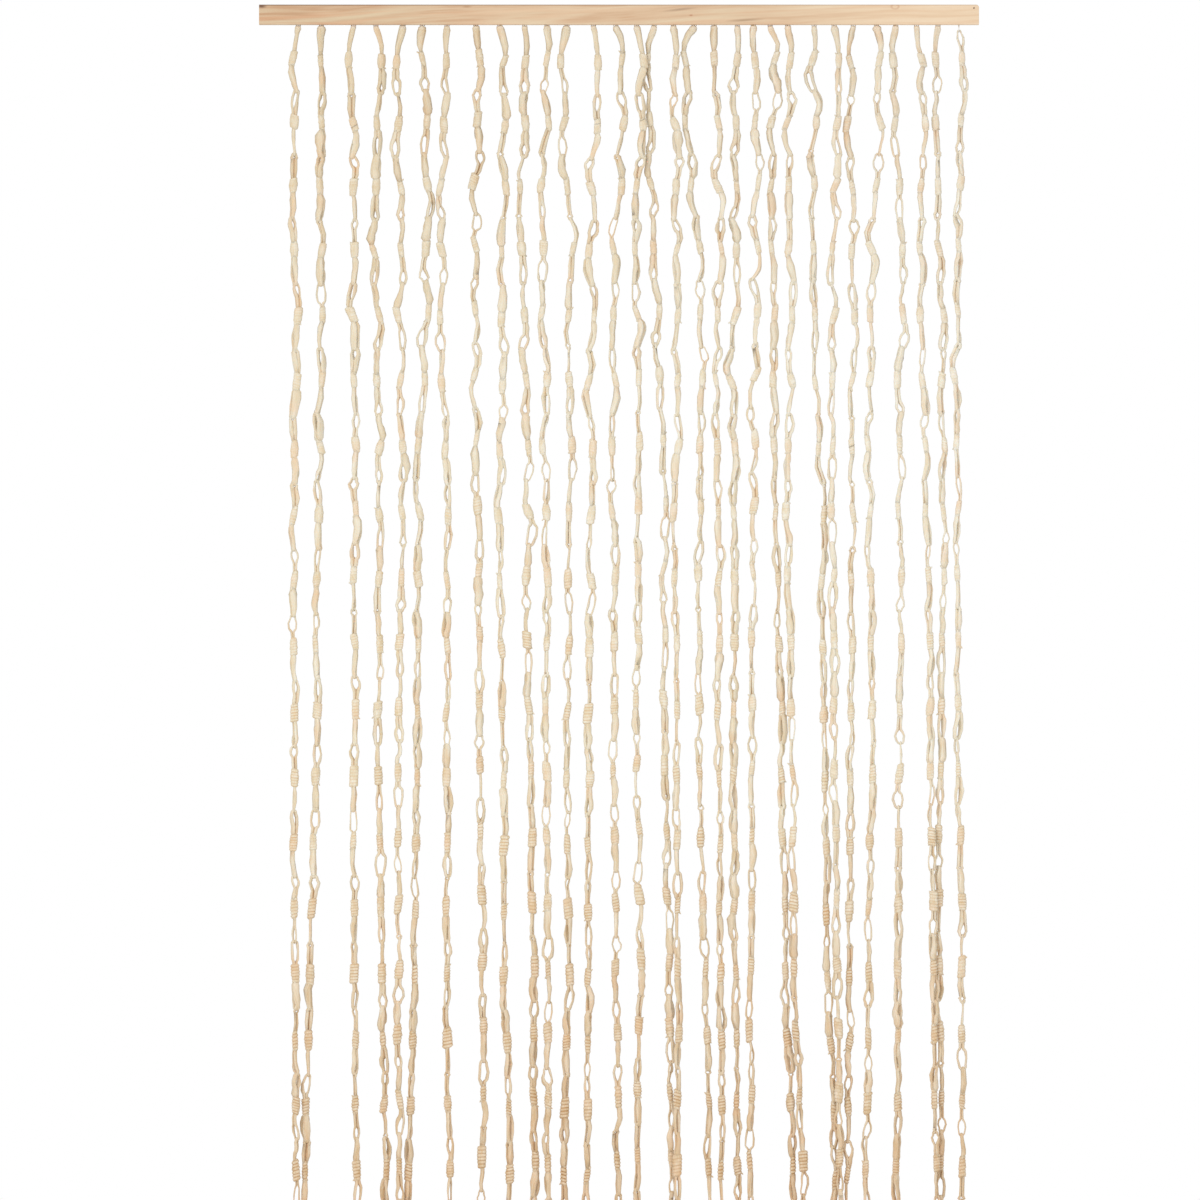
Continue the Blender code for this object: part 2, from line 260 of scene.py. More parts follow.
# Tone of the husk, stored at each point: it varies by strand, link and loop, and is lowered by painted
# shade in creases, in grooves, beside knots and where two legs touch.
MIDDLE_TONE = 0.62
STRAND_TONE_SPREAD = 0.03
LINK_TONE_SPREAD = 0.04
LOOP_TONE_SPREAD = 0.03
TURN_TONE_SPREAD = 0.03
KNOT_TONE_LIFT = 0.02
STUB_TONE_DROP = 0.05
CREASE_SHADE = 0.08
ROOT_SHADE = 0.10
ROOT_SHADE_LENGTH = 0.006
TOUCHING_SHADE = 0.25
GROOVE_SHADE = 0.36
LEAST_GROOVE_SHADE = 0.06
FULL_GROOVE = 0.0006
MOST_GROOVE_SHARE = 1.1
WIRE_TONE = 0.5

# The fibre pattern's place on each strip, and how far it runs on along a wrap, in metres.
FIBRE_OFFSETS = (0.0, 40.0)
FIBRE_RUN_PER_TURN = 0.011
FIBRE_RUN_ALONG = 0.002

# Colour of the husk: it changes over this drop, with patches that come earlier or later, and in streaks
# along the fibres. Where the tone is low it turns brown: mostly painted shade in creases, grooves,
# beside knots and where legs touch, partly loops that are darker at random.
COLOUR_DROP = 1.5
PATCH_SCALE = 7.0
PATCH_SHIFT = 0.25
BROAD_STREAKS = (24.0, 3.0, 1.0)
FINE_STREAKS = (55.0, 22.0, 1.0)
BROAD_SHARE = 0.55
STREAK_CONTRAST = (0.36, 0.62)
SHADE_AND_LOW_TONE_SPAN = (0.08, 0.55)

# Tints of the husk: tan at the upper left, nearer white at the upper right, rosy here and there, and
# painted light in the last millimetres under the rail, where the rail shades the strands' tops.
TAN_STRENGTH = 0.40
WHITER_RIGHT_STRENGTH = 0.34
ROSY_SCALE = 31.0
ROSY_CONTRAST = (0.50, 0.72)
ROSY_STRENGTH = 0.35
ROOT_PAINTED_LIGHT_DROP = 0.006
ROOT_PAINTED_LIGHT = 0.85

# Grain of the batten: how steeply its lines rise to the right and fall towards the wall, and how much
# they sway. Each pattern has its density along, across and through the batten, its contrast, and its
# strength, which for the rosy bands goes from the left end to the right.
GRAIN_RISE = 0.055
GRAIN_FALL_TO_WALL = 0.55
GRAIN_SWAY = 0.022
GRAIN_SWAY_SCALE = 3.5
GRAIN_STREAKS = (9.0, 200.0, 20.0)
GRAIN_CONTRAST = (0.34, 0.66)
ROSY_BANDS = (7.0, 170.0, 12.0)
ROSY_BAND_CONTRAST = (0.50, 0.66)
ROSY_BAND_STRENGTHS = (0.45, 0.15)
PORES = (40.0, 1500.0, 900.0)
PORE_CONTRAST = (0.60, 0.80)
PORE_STRENGTH = 0.25

# Painted shadow along the batten's upper edge, from faint to full, below its top.
SHADOWED_EDGE_DROPS = (0.0017, 0.0006)

# Marks on the batten's front: painted shadow at the upper left corner, darker streaks, a pin knot and a
# ring of a cut twig.
Mark = namedtuple("Mark", "x z half_width half_height slope strength ring colour")
BATTEN_MARKS = (
    # Painted shadow at the upper left corner, where the shadow along the upper edge is darkest.
    Mark(-0.4470, 0.0105, 0.0080, 0.0032, 0.00, 0.90, False, (104, 70, 54)),
    Mark(-0.1900, 0.0098, 0.0075, 0.0016, 0.00, 0.55, False, (160, 116, 80)),
    Mark(0.0080, -0.0035, 0.0170, 0.0016, 0.10, 0.40, False, (192, 146, 108)),
    Mark(0.0760, 0.0064, 0.0240, 0.0020, 0.12, 0.60, False, (158, 134, 112)),
    Mark(0.0900, -0.0009, 0.0030, 0.0015, 0.00, 0.70, False, (176, 112, 84)),
    Mark(0.1575, -0.0068, 0.0280, 0.0022, 0.06, 0.60, False, (150, 120, 92)),
    Mark(0.3450, 0.0100, 0.0060, 0.0038, 0.00, 0.38, True, (186, 132, 98)),
)
MARK_FADE = (1.0, 0.2)
RING_REACH = 0.75
RING_SHARPNESS = 3.0

# A small nail head near the batten's right end, its worn upper right corner and its eased edges.
NAIL_PLACE = (0.4437, 0.0082)
NAIL_RADIUS = 0.0010
NAIL_HEIGHT = 0.0003
NAIL_SIDES = 20
WORN_CORNER = 0.0035
WORN_CORNER_STEPS = 4
EDGE_EASE = 0.0005
EDGE_SEGMENTS = 3
EDGE_ANGLE = math.radians(40)

# View of the photograph: the rail's middle, top edge and width in its 1200 pixel frame.
PHOTO_SIZE_PX = 1200
RAIL_MIDDLE_PX = 619.0
RAIL_TOP_PX = 4.6
RAIL_WIDTH_PX = 720.0
CAMERA_DISTANCE = 18.0
SENSOR_WIDTH = 36.0

# Studio: a floor below the curtain, white surroundings that light it less than they look, and two soft
# lamps that point at the curtain.
FLOOR_RADIUS = 3.0
FLOOR_SIDES = 96
FLOOR_GAP = 0.02
FLOOR_COLOUR = (0.86, 0.85, 0.83, 1.0)
SEEN_COLOUR = (1.0, 1.0, 1.0, 1.0)
AROUND_COLOUR = (1.0, 0.995, 0.985, 1.0)
AROUND_STRENGTH = 0.72
LAMP_TARGET = Vector((0.0, 0.0, -0.7))
Lamp = namedtuple("Lamp", "name place size power")
LAMPS = (
    Lamp("key", (-2.6, -4.2, 1.2), 2.4, 95.0),
    Lamp("fill", (2.8, -4.6, -0.4), 2.8, 40.0),
)

Knot = namedtuple("Knot", "x y drop half_width twist gap_above gap_below")
Hook = namedtuple("Hook", "x y drop")
# Loops to bend at once, one row a loop: where each leaves its knot and where its tip is, the sideways
# direction of its eye, the direction that it starts in, its bow, and what sets its gap, size and tone.
Loops = namedtuple("Loops", "bases tips laterals starts bows half_gaps closed sizes tones")

ALONG_RAIL = np.array((1.0, 0.0, 0.0))
INTO_WALL = np.array((0.0, 1.0, 0.0))


def sway_at(drop):
    """Largest sideways sway of a knot or hook at this depth."""
    return float(np.interp(drop, SWAY_DROPS, SWAYS))


def strand_x(strand, drop):
    """Sideways place of a strand's middle line at this depth."""
    return float(np.interp(drop, WAYPOINT_DROPS, strand)) * MM


def plan_strand(index):
    """Work out a strand's knots and hooks, with the same draws as the construction model."""
    strand = STRANDS[index]
    draw = random.Random(STRAND_SEED + index)
    y = STRAND_DEPTH + DEPTH_LEAN * (-1 if index % 2 == 0 else 1)
    stretch = 1 + draw.uniform(-STRETCH_SPREAD, STRETCH_SPREAD)
    drop = FIRST_KNOT_DROP + draw.uniform(-FIRST_KNOT_SPREAD, FIRST_KNOT_SPREAD)
    twist = draw.choice((0.0, 90.0)) + draw.uniform(-TWIST_START_SPREAD, TWIST_START_SPREAD)
    knots, hooks = [], []
    for link in range(LINKS):
        sway = sway_at(drop) if link else 0.0
        size = 1 + draw.uniform(-KNOT_SIZE_SPREAD, KNOT_SIZE_SPREAD)
        knots.append(Knot(
            x=strand_x(strand, drop) + draw.uniform(-sway, sway),
            y=y,
            drop=drop,
            half_width=KNOT_HALF_WIDTH * size,
            twist=math.radians(twist),
            gap_above=draw.uniform(LOOP_GAP_MIN, LOOP_GAP_MAX),
            gap_below=draw.uniform(LOOP_GAP_MIN, LOOP_GAP_MAX),
        ))
        pitch = UPPER_PITCH if link < UPPER_LINKS else LOWER_PITCH
        pitch = pitch * stretch + draw.uniform(-PITCH_SPREAD, PITCH_SPREAD)
        hook_drop = drop + pitch * HOOK_SHARE
        sway = sway_at(hook_drop)
        hooks.append(Hook(strand_x(strand, hook_drop) + draw.uniform(-sway, sway), y, hook_drop))
        drop += pitch
        twist += draw.uniform(-TWIST_STEP, TWIST_STEP)
    return knots, hooks


def is_last(index):
    """Tell whether this is the last strand, whose eye is lower and whose first loop faces the front."""
    return index == len(STRANDS) - 1


def wire_drop(index):
    """Depth of a wire eye's bar."""
    return LAST_WIRE_DROP if is_last(index) else WIRE_DROP


def unit(vectors):
    """Scale vectors along the last axis to length one."""
    return vectors / np.linalg.norm(vectors, axis=-1, keepdims=True)


def square_to(vectors, axis):
    """Take from vectors their part along an axis of length one."""
    return vectors - axis * np.sum(vectors * axis, axis=-1, keepdims=True)


def ring_angles(sides):
    """Angles of points evenly spaced around a ring."""
    return np.arange(sides) * (2 * math.pi / sides)


def round_trip(up, tip, down):
    """Join a loop's values up one leg, around its tip and back down the other leg."""
    return np.concatenate([up, tip, down[:, ::-1]], axis=1)


def new_object(name, data):
    """Put a mesh, lamp or camera into the scene as an object."""
    made = bpy.data.objects.new(name, data)
    bpy.context.scene.collection.objects.link(made)
    return made


class MeshMaker:
    """Collects closed tubes and makes one mesh of them, with fibre coordinates and tones."""

    def __init__(self):
        self.points, self.tones = [], []
        self.corners, self.starts, self.uvs = [], [], []
        self.point_count = self.corner_count = 0

    def add_tubes(self, points, tones, lengths, offsets):
        """Add capped tubes from points of shape (tube, row, side, 3), each row a cross-section."""
        tubes, rows, sides = points.shape[:3]
        # One ring of quads between each two rows, then the two caps.
        row = np.arange(rows - 1)[:, None]
        side = np.arange(sides)[None, :]
        after = (side + 1) % sides
        quads = np.stack([row * sides + side, row * sides + after,
                          (row + 1) * sides + after, (row + 1) * sides + side], axis=-1).reshape(-1)
        start_cap = np.arange(sides)[::-1]
        end_cap = (rows - 1) * sides + np.arange(sides)
        corners = np.concatenate([quads, start_cap, end_cap])
        faces = (rows - 1) * sides
        starts = np.concatenate([np.arange(faces) * 4, [faces * 4, faces * 4 + sides]])
        # Fibre coordinates of each corner: its row along the tube, and from 0 to 1 around it.
        along = np.stack(np.broadcast_arrays(row, row, row + 1, row + 1), axis=-1)
        along = np.broadcast_to(along, (rows - 1, sides, 4)).reshape(-1)
        around = np.stack(np.broadcast_arrays(side, side + 1, side + 1, side), axis=-1)
        around = np.broadcast_to(around, (rows - 1, sides, 4)).reshape(-1) / sides
        cap_along = np.concatenate([np.zeros(sides, int), np.full(sides, rows - 1)])
        along = np.concatenate([along, cap_along])
        around = np.concatenate([around, np.tile(np.arange(sides) / sides, 2)])
        for tube in range(tubes):
            self.corners.append(corners + self.point_count)
            self.starts.append(starts + self.corner_count)
            u = lengths[tube][along] + offsets[tube]
            self.uvs.append(np.stack([u, around], axis=-1))
            self.point_count += rows * sides
            self.corner_count += len(corners)
        self.points.append(points.reshape(-1, 3))
        self.tones.append(np.broadcast_to(tones, points.shape[:3]).reshape(-1))

    def make(self, name, material):
        """Turn what was collected into one object."""
        mesh = bpy.data.meshes.new(name)
        points = np.concatenate(self.points).astype(np.float32)
        corners = np.concatenate(self.corners).astype(np.int32)
        starts = np.concatenate(self.starts).astype(np.int32)
        mesh.vertices.add(len(points))
        mesh.vertices.foreach_set("co", points.ravel())
        mesh.loops.add(len(corners))
        mesh.loops.foreach_set("vertex_index", corners)
        mesh.polygons.add(len(starts))
        mesh.polygons.foreach_set("loop_start", starts)
        mesh.update(calc_edges=True)
        fibre = mesh.uv_layers.new(name="fibre")
        fibre.data.foreach_set("uv", np.concatenate(self.uvs).astype(np.float32).ravel())
        tone = mesh.attributes.new("tone", "FLOAT", "POINT")
        tone.data.foreach_set("value", np.concatenate(self.tones).astype(np.float32))
        mesh.shade_smooth()
        mesh.materials.append(material)
        return new_object(name, mesh)


def uneven_leg(draw, share):
    """Draw how a leg's size strays smoothly along it, for each loop."""
    count = len(share)
    values = draw.normal(0, STRIP_UNEVENNESS, (count, UNEVEN_PLACES))
    place = share * (UNEVEN_PLACES - 1)
    before = np.minimum(place.astype(int), UNEVEN_PLACES - 2)
    part = place - before
    return (np.take_along_axis(values, before, axis=1) * (1 - part)
            + np.take_along_axis(values, before + 1, axis=1) * part)


def keep_under_rail(points):
    """Press what would reach out past the rail's depth softly back within it."""
    depth = points[..., 1] - STRAND_DEPTH
    free = RAIL_HALF_DEPTH * FREE_SHARE_OF_DEPTH
    room = RAIL_HALF_DEPTH - free
    over = np.maximum(np.abs(depth) - free, 0.0)
    pressed = np.minimum(np.abs(depth), free) + room * np.tanh(over / room)
    pressed = STRAND_DEPTH + np.sign(depth) * pressed
    return np.stack([points[..., 0], pressed, points[..., 2]], axis=-1)


def add_loops(maker, draw, strip, loops):
    """Bend a husk strip into a loop from each base to each tip and back."""
    count = len(loops.bases)
    span = loops.tips - loops.bases
    length = np.linalg.norm(span, axis=1)[:, None]
    axis = unit(span)
    lateral = unit(square_to(loops.laterals, axis))
    normal = np.cross(axis, lateral)
    half = (loops.half_gaps + strip.end_thickness / 2)[:, None]
    narrowing = draw.uniform(*EYE_NARROWING, (count, 1))
    stretch = draw.uniform(*TIP_STRETCH, (count, 1))
    tip_length = np.minimum(half * narrowing * stretch, length * LONGEST_TIP_SHARE)

    # Cross-sections of a leg: along its closed part, where it parts, and along the eye.
    closed = loops.closed[:, None]
    parting = np.minimum(draw.uniform(*PARTING_SHARE, (count, 1)), PARTED_AT_MOST - closed)
    parted = closed + parting
    share = np.concatenate([
        closed * CLOSED_STATIONS,
        closed + parting * PARTING_STATIONS,
        (parted + 1) / 2,
        np.ones((count, 1)),
    ], axis=1)
    sizes = loops.sizes[:, None]
    leg_sizes = np.where(share > 0, sizes, np.minimum(sizes, LARGEST_ROOT_SIZE))
    neck = strip.thickness * NECK_SHARE * (1 + THICKNESS_FOLLOWS_SIZE * (leg_sizes - 1))

    # Places along the loop's axis and out from it: up one leg, around the tip and down the other leg.
    opening = np.clip((share - closed) / parting, 0.0, 1.0)
    opening = opening * opening * (3 - 2 * opening)
    inside = np.clip((share - parted) / (1 - parted), 0.0, 1.0)
    swell = draw.uniform(*EYE_SWELL, (count, 1)) * np.sin(math.pi * inside)
    reach = half * (1 + swell - (1 - narrowing) * inside ** 2)
    angle = np.linspace(0.0, math.pi, TIP_STATIONS + 2)[None, 1:-1]
    leg_along = share * (length - tip_length)
    leg_out = neck + (reach - neck) * opening
    tip_along = length - tip_length + tip_length * np.sin(angle) ** TIP_ROUNDING
    tip_out = half * narrowing * np.sign(np.cos(angle)) * np.abs(np.cos(angle)) ** TIP_ROUNDING
    along = round_trip(leg_along, tip_along, leg_along)
    out = round_trip(leg_out, tip_out, -leg_out)

    # Strays of the legs. The tip keeps its place.
    arch = np.sin(math.pi * share)
    ripple = np.sin(2 * math.pi * share)
    still = np.zeros((count, TIP_STATIONS))

    def wobble(size):
        """Draw a smooth stray that the legs share and one of each leg's own."""
        both = draw.normal(0, size, (count, 1)) * arch
        both = both + draw.normal(0, size * RIPPLE_SHARE, (count, 1)) * ripple
        legs = [both + draw.normal(0, size, (count, 1)) * opening * arch for _ in range(2)]
        return round_trip(legs[0], still, legs[1])

    out = out + wobble(LEG_WOBBLE)
    aside = wobble(LEG_WOBBLE_ASIDE)
    progress = (along / length)[..., None]
    lean = square_to(loops.starts, axis) * length
    sweep = (lean[:, None] * progress * (1 - progress) ** 2
             + loops.bows[:, None] * 4 * progress * (1 - progress))
    centre = (loops.bases[:, None] + sweep
              + axis[:, None] * along[..., None]
              + lateral[:, None] * out[..., None]
              + normal[:, None] * aside[..., None])

    # Width and thickness of the strip along the legs and around the tip.
    root_width = strip.width * ROOT_WIDTH_SHARE
    far_width = (strip.width + strip.end_width) / 2
    widths = (root_width, strip.width, far_width, strip.end_width)
    leg_width = np.interp(share, LEG_WIDTH_PLACES, widths)
    leg_thickness = strip.thickness + (strip.end_thickness - strip.thickness) * opening
    side = np.abs(np.cos(angle)) ** TIP_SHOULDER
    tip_width = strip.tip_width + (strip.end_width - strip.tip_width) * side + still
    tip_thickness = strip.tip_thickness + (strip.end_thickness - strip.tip_thickness) * side + still
    first_leg, second_leg = (uneven_leg(draw, share) for _ in range(2))
    uneven = 1 + round_trip(first_leg, still, second_leg)
    sizes = round_trip(leg_sizes, sizes + still, leg_sizes)
    width = round_trip(leg_width, tip_width, leg_width) * uneven * sizes
    thickness = round_trip(leg_thickness, tip_thickness, leg_thickness)
    thickness = thickness * uneven * (1 + THICKNESS_FOLLOWS_SIZE * (sizes - 1))

    # Directions of each cross-section: across the strip's width and within its thickness.
    tangent = unit(np.gradient(centre, axis=1))
    roll = draw.normal(0, STRIP_LEAN, (count, 1)) * round_trip(arch, still, -arch)
    across = normal[:, None] * np.cos(roll)[..., None] + lateral[:, None] * np.sin(roll)[..., None]
    across = unit(square_to(across, tangent))
    inward = np.cross(tangent, across)

    # Creased cross-sections that wind along the strip, and their tones, with painted shade in the
    # creases, beside the knot and on the inner sides where the two legs touch.
    run = np.linalg.norm(np.diff(centre, axis=1), axis=2)
    run = np.concatenate([np.zeros((count, 1)), np.cumsum(run, axis=1)], axis=1)
    spiral = draw.uniform(-1, 1, (count, 1)) * STRIP_SPIRAL * run / run[:, -1:]
    spiral = spiral + draw.uniform(*ANY_ANGLE, (count, 1))
    turn = spiral[..., None] + ring_angles(STRIP_SIDES)
    crease = np.arange(STRIP_SIDES) % 2
    bulge = STRIP_BULGE - STRIP_CREASE * crease * draw.uniform(*CREASE_DEPTHS, (count, 1, 1))
    points = (centre[:, :, None]
              + across[:, :, None] * (np.cos(turn) * bulge * width[..., None] / 2)[..., None]
              + inward[:, :, None] * (np.sin(turn) * bulge * thickness[..., None] / 2)[..., None])
    # Painted shade: darker near the knot, in the creases and on the sides that face the other leg while
    # the legs cling together.
    near_knot = 1 - np.minimum(1, along / ROOT_SHADE_LENGTH)
    touching = 1 - round_trip(opening, still + 1, opening)
    shade = loops.tones[:, None, None] - CREASE_SHADE * crease - ROOT_SHADE * near_knot[..., None]
    shade = shade - TOUCHING_SHADE * touching[..., None] * np.clip(np.sin(turn), 0.0, 1.0)
    maker.add_tubes(points, shade, run, draw.uniform(*FIBRE_OFFSETS, count))


def add_wraps(maker, draw, centres, axes, half_widths, half_lengths, grooves, tones):
    """Wind slanted turns of strip around each knot, thinning towards one or both of its ends."""
    count = len(centres)
    lateral = unit(square_to(ALONG_RAIL, axes))
    normal = np.cross(axes, lateral)
    turns = WRAP_TURNS * WRAP_ROWS_PER_TURN
    along = np.linspace(-1.0, 1.0, turns + 1)
    along = np.concatenate([-WRAP_END_PLACES[::-1], along, WRAP_END_PLACES])
    closing = np.concatenate([WRAP_END_SIZES[::-1], np.ones(turns + 1), WRAP_END_SIZES])
    between_turns = np.arange(turns + 1) % WRAP_ROWS_PER_TURN == 0
    groove = np.pad(between_turns.astype(float), len(WRAP_END_PLACES))
    wound = np.abs(along) < 1.0
    rows = len(along)

    def each_turn(spread):
        """Draw one value for each turn and give it to each of the turn's rows."""
        values = draw.normal(0, spread, (count, WRAP_TURNS + 2))
        return np.repeat(values, WRAP_ROWS_PER_TURN, axis=1)[:, :rows]

    taper = draw.uniform(0, WRAP_TAPER, (2, count, 1))
    top = taper[0] * np.clip(along, 0, 1) ** WRAP_TAPER_CURVE
    bottom = taper[1] * np.clip(-along, 0, 1) ** WRAP_TAPER_CURVE
    reach = half_widths[:, None] * closing * (1.0 - (top + bottom)) * (1 + each_turn(WRAP_TURN_SPREAD))
    reach = reach - grooves[:, None] * groove
    angle = ring_angles(WRAP_SIDES)
    oval = 1 + WRAP_OVAL * np.cos(2 * angle + draw.uniform(*ANY_ANGLE, (count, 1)))
    oval = oval + WRAP_THREE_SIDED * np.cos(3 * angle + draw.uniform(*ANY_ANGLE, (count, 1)))
    hand = np.sign(draw.uniform(*WRAP_HANDS, (count, 1, 1)))
    slant = draw.uniform(*WRAP_SLANT_SHARES, (count, 1, 1)) * hand * WRAP_SLANT
    slant_turn = draw.uniform(-WRAP_SLANT_TURN, WRAP_SLANT_TURN, (count, 1))
    tilt = slant * np.cos(angle + slant_turn)[:, None, :]
    uneven = slant * WRAP_UNEVEN_SHARE * draw.normal(0, 1, (count, rows, 1)) * wound[None, :, None]
    lift = along[None, :, None] * half_lengths[:, None, None] + tilt + uneven
    around = reach[..., None] * oval[:, None]
    points = (centres[:, None, None]
              + axes[:, None, None] * lift[..., None]
              + lateral[:, None, None] * (around * np.cos(angle))[..., None]
              + normal[:, None, None] * (around * np.sin(angle) * WRAP_DEPTH_RATIO)[..., None])
    # Painted shade in the grooves between turns, darker where the grooves are deeper.
    groove_painted_shade = GROOVE_SHADE * np.minimum(MOST_GROOVE_SHARE, grooves / FULL_GROOVE) + LEAST_GROOVE_SHADE
    shade = (tones + KNOT_TONE_LIFT)[:, None] - groove_painted_shade[:, None] * groove + each_turn(TURN_TONE_SPREAD)
    shade = np.broadcast_to(shade[..., None], (count, rows, WRAP_SIDES))
    run = np.repeat(np.arange(WRAP_TURNS + 2) * FIBRE_RUN_PER_TURN, WRAP_ROWS_PER_TURN)[:rows]
    run = np.broadcast_to(run + along * FIBRE_RUN_ALONG, (count, rows))
    maker.add_tubes(points, shade, run, draw.uniform(*FIBRE_OFFSETS, count))


def add_stubs(maker, draw, centres, axes, half_widths, half_lengths, tones):
    """Let a short cut end of the strip stick out beside some knots."""
    chosen = np.flatnonzero(draw.uniform(0, 1, len(centres)) < STUB_SHARE)
    count = len(chosen)
    axis = axes[chosen]
    end = np.sign(draw.uniform(-1, 1, (count, 1)))
    side = np.sign(draw.uniform(-1, 1, (count, 1)))
    lateral = ALONG_RAIL * side + INTO_WALL * draw.normal(0, STUB_DEPTH_SPREAD, (count, 1))
    lateral = unit(square_to(lateral, axis))
    start = (centres[chosen] + axis * end * (half_lengths[chosen, None] * STUB_ROOT_ALONG)
             + lateral * (half_widths[chosen, None] * STUB_ROOT_OUT))
    heading = unit(axis * end * draw.uniform(*STUB_HEADINGS, (count, 1)) + lateral)
    length = draw.uniform(*STUB_LENGTH_SHARES, (count, 1)) * STUB_LENGTH
    middle = start[:, None] + heading[:, None] * (STUB_PLACES * length)[..., None]
    across = unit(np.cross(axis, heading))
    inward = np.cross(heading, across)
    angle = ring_angles(STUB_SIDES)
    wide = STUB_SIZES[:, None] * np.cos(angle) * STUB_HALF_WIDTH
    thick = STUB_SIZES[:, None] * np.sin(angle) * STUB_HALF_THICKNESS
    points = (middle[:, :, None]
              + across[:, None, None] * wide[None, ..., None]
              + inward[:, None, None] * thick[None, ..., None])
    run = np.broadcast_to(STUB_PLACES * STUB_LENGTH, (count, len(STUB_PLACES)))
    shade = tones[chosen, None, None] - STUB_TONE_DROP
    maker.add_tubes(points, shade, run, draw.uniform(*FIBRE_OFFSETS, count))


def add_head_loop(maker, draw, index, base, start, tone):
    """Close the strand's first loop over the bar of its wire eye."""
    last = is_last(index)
    strip = LOOP_STRIP if last else HEAD_STRIP
    bar_top = RAIL_UNDERSIDE - wire_drop(index) + WIRE_RADIUS
    tip_height = bar_top + HEAD_CLEARANCE + strip.tip_thickness / 2
    loop = Loops(
        bases=base[None],
        tips=np.array([(STRANDS[index].root * MM, STRAND_DEPTH, tip_height)]),
        laterals=np.array([ALONG_RAIL if last else INTO_WALL]),
        starts=start[None],
        bows=np.zeros((1, 3)),
        half_gaps=np.array([LAST_HEAD_HALF_GAP if last else HEAD_HALF_GAP]),
        closed=np.array([LAST_HEAD_CLOSED if last else HEAD_CLOSED]),
        sizes=draw.uniform(*(LAST_HEAD_SIZES if last else HEAD_SIZES), 1),
        tones=np.array([tone]),
    )
    add_loops(maker, draw, strip, loop)


def make_strand(index, material):
    """Make one strand of interlinked loops and wrapped knots."""
    knots, hooks = plan_strand(index)
    draw = np.random.default_rng(LOOKS_SEED + index)
    maker = MeshMaker()
    centres = np.array([(k.x, k.y, RAIL_UNDERSIDE - k.drop) for k in knots])
    lower_hooks = np.array([(h.x, h.y, RAIL_UNDERSIDE - h.drop) for h in hooks])
    lower_hooks[-1, 2] = RAIL_UNDERSIDE - knots[-1].drop - TAIL_LENGTH + LOOP_STRIP.tip_thickness
    head = (STRANDS[index].root * MM, STRAND_DEPTH, RAIL_UNDERSIDE)
    upper_hooks = np.concatenate([[head], lower_hooks[:-1]])
    drops = np.array([k.drop for k in knots])
    twist = np.array([k.twist for k in knots])
    half_widths = np.array([k.half_width for k in knots])
    half_lengths = np.interp(drops, WRAP_DROPS, WRAP_HALF_LENGTHS)
    half_lengths = half_lengths * draw.uniform(*WRAP_LENGTH_SHARES, LINKS)
    rightness = STRANDS[index].root / STRANDS[-1].root
    size_fall = SIZE_FALL_TO_RIGHT * rightness * np.interp(drops, SIZE_FALL_DROPS, SIZE_FALL_SHARES)
    half_widths = half_widths * np.interp(drops, WRAP_DROPS, KNOT_GROWTH) * (1 - size_fall / 2)
    smallest, largest = (np.interp(drops, (0.0, LOW_SIZES_DROP), pair)
                         for pair in zip(STRIP_SIZES_TOP, STRIP_SIZES_LOW))
    strand_size = 1 - size_fall + draw.uniform(-STRIP_SIZE_SPREAD, STRIP_SIZE_SPREAD)
    tones = MIDDLE_TONE + draw.normal(0, STRAND_TONE_SPREAD) + draw.normal(0, LINK_TONE_SPREAD, LINKS)

    tilt = np.interp(drops, SWAY_DROPS, KNOT_TILTS)
    axes = unit(upper_hooks - lower_hooks)
    axes = unit(axes + draw.normal(0, 1, (LINKS, 3)) * tilt[:, None] * MOSTLY_SIDEWAYS)
    bow = np.interp(drops, SWAY_DROPS, LEG_BOWS)
    least, most = (np.interp(drops, CLOSED_DROPS, shares) for shares in (LEAST_CLOSED, MOST_CLOSED))

    def loops(side, tips, laterals, gaps):
        """Plan the loops above the knots, with side 1, or below them, with side -1."""
        squeeze = 1 - (1 - DEPTH_SQUEEZE) * np.abs(laterals[:, 1])
        shut = draw.uniform(0, 1, LINKS) < SHUT_LOOPS_SHARE
        closed = np.where(shut, draw.uniform(*SHUT_CLOSED, LINKS), draw.uniform(least, most))
        gap_shares = np.where(shut, SHUT_GAP_SHARE, draw.uniform(*GAP_SHARES, LINKS))
        return Loops(
            bases=centres + axes * side * half_lengths[:, None] * LOOP_START_SHARE,
            tips=tips + np.array((0.0, 0.0, side * LOOP_STRIP.tip_thickness / 2)),
            laterals=laterals,
            starts=axes * side,
            bows=draw.normal(0, 1, (LINKS, 3)) * bow[:, None] * MOSTLY_SIDEWAYS,
            half_gaps=np.array(gaps) / 2 * squeeze * gap_shares,
            closed=closed,
            sizes=strand_size * draw.uniform(smallest, largest),
            tones=tones + draw.normal(0, LOOP_TONE_SPREAD, LINKS),
        )

    face, edge, level = np.cos(twist), np.sin(twist), np.zeros(LINKS)
    above = loops(1, upper_hooks, np.stack([face, edge, level], axis=1), [k.gap_above for k in knots])
    below = loops(-1, lower_hooks, np.stack([-edge, face, level], axis=1), [k.gap_below for k in knots])
    add_head_loop(maker, draw, index, above.bases[0], above.starts[0], tones[0])
    add_loops(maker, draw, LOOP_STRIP, Loops(*(column[1:] for column in above)))
    add_loops(maker, draw, LOOP_STRIP, below)
    half_widths = half_widths * draw.uniform(*KNOT_SIZES, LINKS)
    grooves = np.interp(drops, WRAP_DROPS, WRAP_GROOVES) * draw.uniform(*WRAP_GROOVE_SHARES, LINKS)
    add_wraps(maker, draw, centres, axes, half_widths, half_lengths, grooves, tones)
    add_stubs(maker, draw, centres, axes, half_widths, half_lengths, tones)
    maker.points = [keep_under_rail(points) for points in maker.points]

    piece = maker.make(f"husk_strand_{index + 1:02d}", material)
    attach(piece, "root")
    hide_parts(f"strand_{index + 1:02d}")


